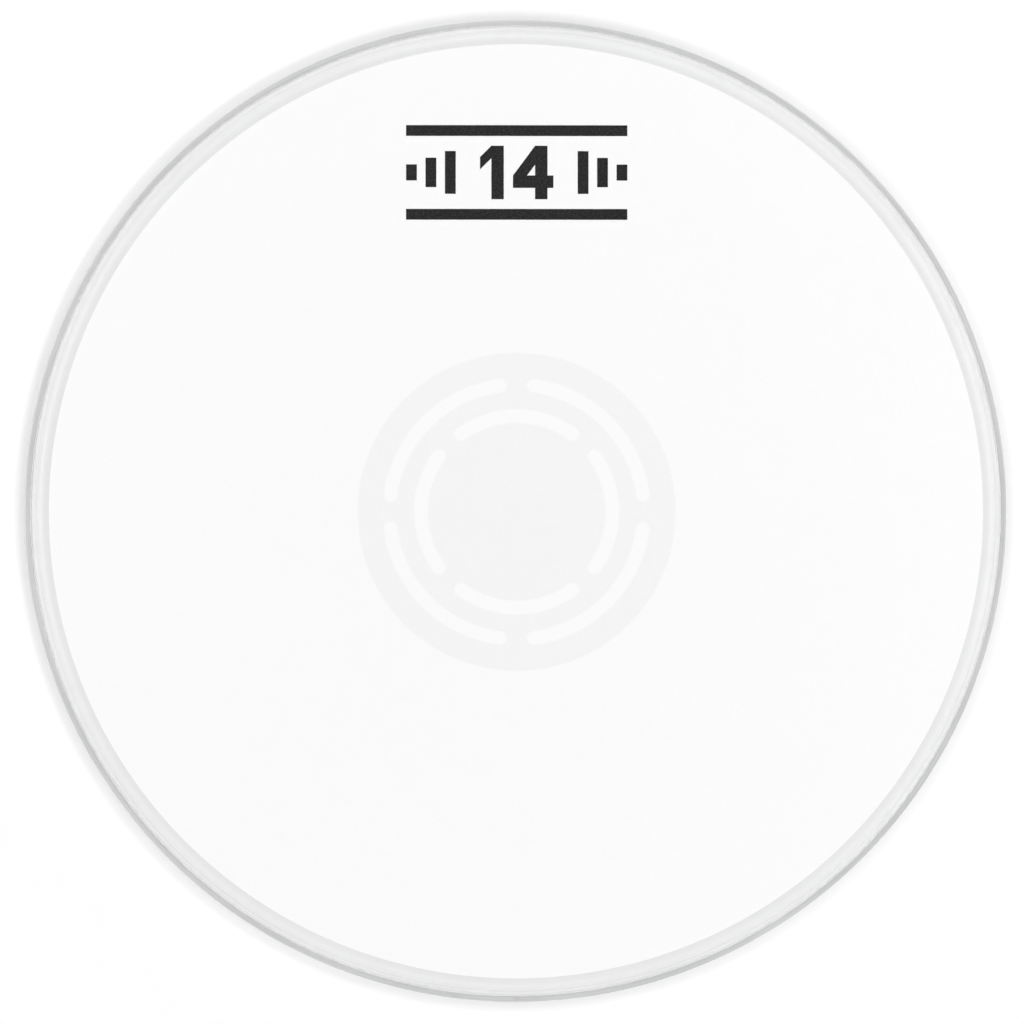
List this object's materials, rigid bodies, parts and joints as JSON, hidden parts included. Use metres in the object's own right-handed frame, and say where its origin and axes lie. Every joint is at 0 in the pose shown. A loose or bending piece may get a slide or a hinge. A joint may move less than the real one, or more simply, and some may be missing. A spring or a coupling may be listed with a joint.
{
  "type": "drum head",
  "caption": "Round drum head: white coated film with a formed collar, potted in a rolled aluminium flesh hoop, with a slotted damping patch under its centre.",
  "frame": {"origin": "centre of the flesh hoop, on the plane that its underside rests on", "axes": "+Z out of the playing surface, +Y towards the printed size mark"},
  "size_m": [0.367, 0.367, 0.0196],
  "materials": {
    "hoop_aluminium": "satin, drawn along the ring",
    "resin": "matte",
    "film": "gloss, milky",
    "coat": "sprayed, sandy",
    "adhesive": "gloss",
    "patch": "gloss",
    "ink": "matte"
  },
  "bodies": {
    "root": {"flesh_hoop": "hoop_aluminium", "hoop_butt_weld": "hoop_aluminium", "potting_resin": "resin", "bottom_ply": "film", "top_ply": "film", "playing_coat": "coat", "dot_adhesive": "adhesive", "reverse_dot": "patch", "printed_mark": "ink"}
  },
  "joints": []
}
